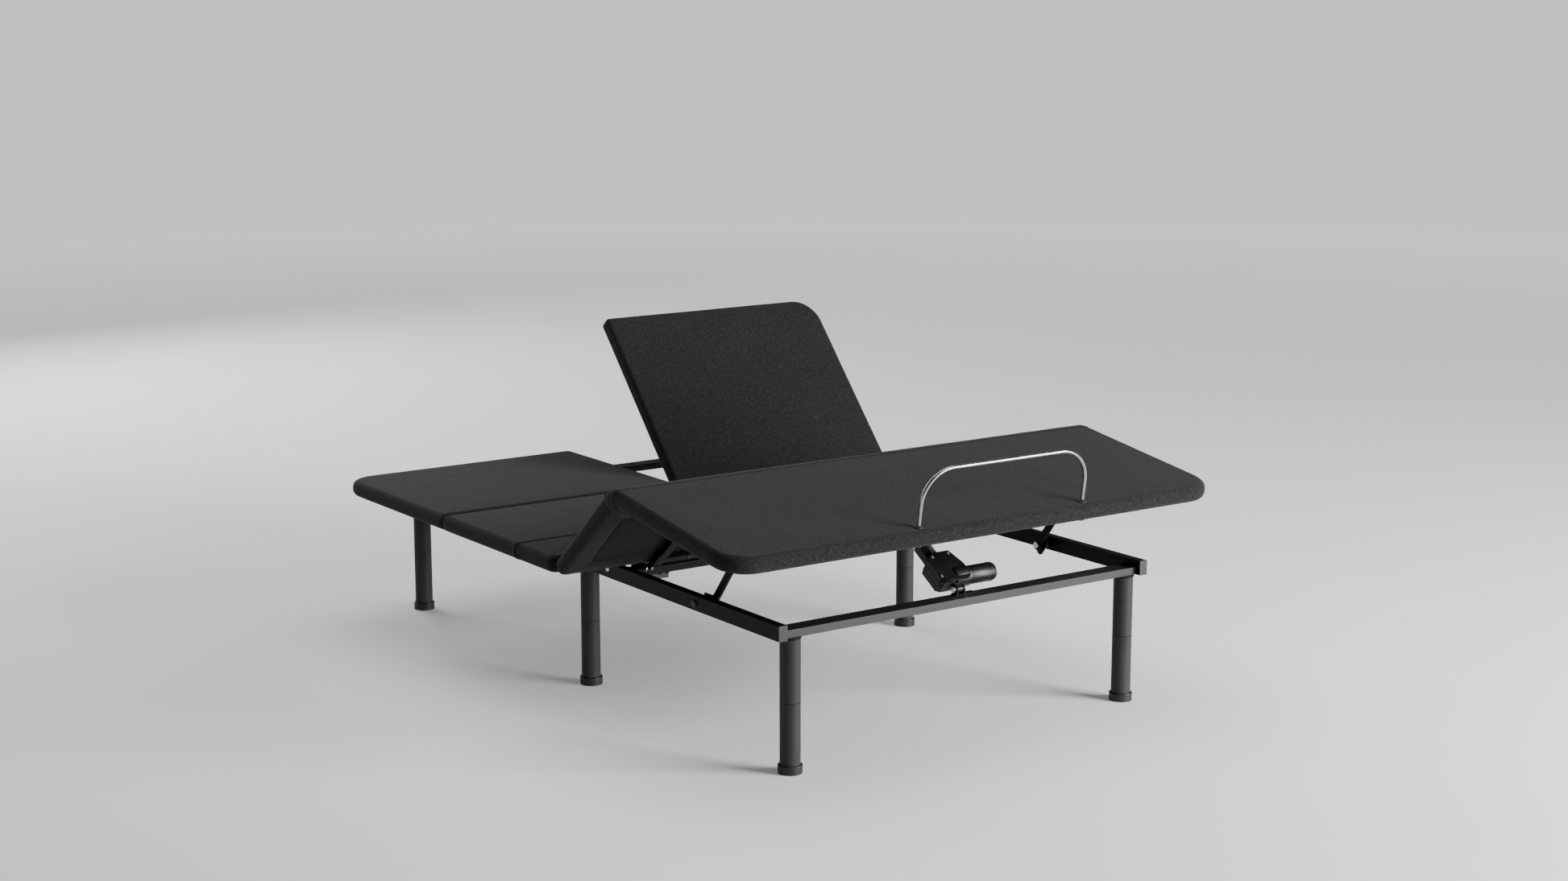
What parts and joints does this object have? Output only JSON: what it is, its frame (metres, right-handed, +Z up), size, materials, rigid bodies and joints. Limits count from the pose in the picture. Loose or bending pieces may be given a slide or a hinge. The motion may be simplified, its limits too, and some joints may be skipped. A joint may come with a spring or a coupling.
{
  "type": "adjustable bed base",
  "caption": "Split-head adjustable bed base: upholstered panels hinged on a steel frame with legs, electric linear actuators, folding knee section and foot-end mattress retainer bar.",
  "frame": {"origin": "on the floor, at the centre of the bounding box in plan", "axes": "+Z up, +Y towards the head end, +X to the right seen from the foot end"},
  "size_m": [1.522, 2.0268, 0.8474],
  "materials": {
    "deck_fabric": "heathered charcoal woven upholstery",
    "plywood": "black stained panel board",
    "dust_cover": "black non-woven underlay",
    "zinc_bolt": "bright zinc",
    "chrome": "satin chrome",
    "leg_coat": "satin dark powder coat",
    "cap_plastic": "moulded",
    "plug_plastic": "moulded",
    "case_plastic": "fine texture",
    "actuator_plastic": "gloss black",
    "frame_coat": "satin dark powder coat"
  },
  "bodies": {
    "base_frame": {"side_rail_left": "frame_coat", "side_rail_right": "frame_coat", "foot_cross_rail": "frame_coat", "mid_cross_rail": "frame_coat", "head_cross_rail": "frame_coat", "thigh_hinge_rail": "frame_coat", "head_hinge_rail": "frame_coat", "rail_end_plugs": "plug_plastic", "leg_upper_tubes": "leg_coat", "leg_lower_tubes": "leg_coat", "leg_foot_caps": "cap_plastic", "seat_board": "plywood", "seat_pad": "deck_fabric", "lumbar_board": "plywood", "lumbar_pad": "deck_fabric", "thigh_hinge_brackets": "frame_coat", "head_hinge_brackets": "frame_coat", "link_rail_brackets": "frame_coat", "leg_actuator_bracket": "frame_coat", "head_actuator_brackets": "frame_coat", "base_hinge_pins": "zinc_bolt", "rail_bolts": "zinc_bolt", "control_box": "case_plastic", "power_supply": "case_plastic", "head_actuator_left": "actuator_plastic", "head_actuator_right": "actuator_plastic"},
    "thigh": {"thigh_board": "plywood", "thigh_pad": "deck_fabric", "thigh_dust_cover": "dust_cover", "thigh_side_tubes": "frame_coat", "thigh_cross_tubes": "frame_coat", "thigh_hinge_lugs": "frame_coat", "knee_cover": "deck_fabric"},
    "calf": {"calf_board": "plywood", "calf_pad": "deck_fabric", "calf_side_tubes": "frame_coat", "calf_cross_tubes": "frame_coat", "calf_hinge_lugs": "frame_coat", "calf_hinge_pins": "zinc_bolt", "calf_link_brackets": "frame_coat", "calf_actuator_clevis": "frame_coat", "retainer_bar": "chrome", "retainer_sockets": "plug_plastic"},
    "link_left": {"link_arm_left": "frame_coat"},
    "link_right": {"link_arm_right": "frame_coat"},
    "leg_actuator": {"leg_actuator_gearbox": "actuator_plastic", "leg_actuator_motor": "actuator_plastic", "leg_actuator_guide": "actuator_plastic", "leg_actuator_tube": "chrome"},
    "leg_actuator_rod": {"leg_actuator_rod": "chrome"},
    "head_left": {"head_left_board": "plywood", "head_left_pad": "deck_fabric", "head_left_tubes": "frame_coat", "head_left_lever": "frame_coat"},
    "head_right": {"head_right_board": "plywood", "head_right_pad": "deck_fabric", "head_right_tubes": "frame_coat", "head_right_lever": "frame_coat"},
    "head_rod_left": {"head_rod_left": "chrome"},
    "head_rod_right": {"head_rod_right": "chrome"}
  },
  "joints": [
    {"name": "thigh_lift", "type": "hinge", "parent": "base_frame", "child": "thigh", "pos_m": [0, -0.23863, 0.362], "axis": [-1, 0, 0], "range_deg": [-41.5, 0]},
    {"name": "knee_fold", "type": "hinge", "parent": "thigh", "child": "calf", "pos_m": [0, -0.49402, 0.58795], "axis": [1, 0, 0], "range_deg": [-50.25, 0.01], "deforming": ["knee_cover"]},
    {"name": "link_left_turn", "type": "hinge", "parent": "base_frame", "child": "link_left", "pos_m": [-0.52, -0.58063, 0.352], "axis": [-1, 0, 0], "range_deg": [-52.85, 0.01]},
    {"name": "link_right_turn", "type": "hinge", "parent": "base_frame", "child": "link_right", "pos_m": [0.52, -0.58063, 0.352], "axis": [-1, 0, 0], "range_deg": [-52.85, 0.01]},
    {"name": "leg_actuator_tilt", "type": "hinge", "parent": "base_frame", "child": "leg_actuator", "pos_m": [0, -0.88663, 0.368], "axis": [1, 0, 0], "range_deg": [-41.8, 0.01]},
    {"name": "leg_actuator_extend", "type": "slide", "parent": "leg_actuator", "child": "leg_actuator_rod", "axis": [0, 0.8323, 0.5543], "range_m": [-0.14326, 0.0001]},
    {"name": "head_left_lift", "type": "hinge", "parent": "base_frame", "child": "head_left", "pos_m": [-0.38, 0.42337, 0.3952], "axis": [1, 0, 0], "range_deg": [0, 60]},
    {"name": "head_right_lift", "type": "hinge", "parent": "base_frame", "child": "head_right", "pos_m": [0.38, 0.42337, 0.3952], "axis": [1, 0, 0], "range_deg": [-48.8, 11.2]},
    {"name": "head_left_extend", "type": "slide", "parent": "base_frame", "child": "head_rod_left", "axis": [0, 1, 0], "range_m": [-0.0001, 0.1296]},
    {"name": "head_right_extend", "type": "slide", "parent": "base_frame", "child": "head_rod_right", "axis": [0, 1, 0], "range_m": [-0.1026, 0.0237]}
  ],
  "couplings": [
    {"joint": "knee_fold", "follows": "thigh_lift", "ratio": 1.2106},
    {"joint": "link_left_turn", "follows": "thigh_lift", "ratio": 1.2733},
    {"joint": "link_right_turn", "follows": "thigh_lift", "ratio": 1.2733},
    {"joint": "leg_actuator_tilt", "follows": "thigh_lift", "ratio": 1.007},
    {"joint": "leg_actuator_extend", "follows": "thigh_lift", "m_per_rad": 0.19751},
    {"joint": "head_left_extend", "follows": "head_left_lift", "m_per_rad": 0.12359},
    {"joint": "head_right_extend", "follows": "head_right_lift", "m_per_rad": 0.12032}
  ]
}
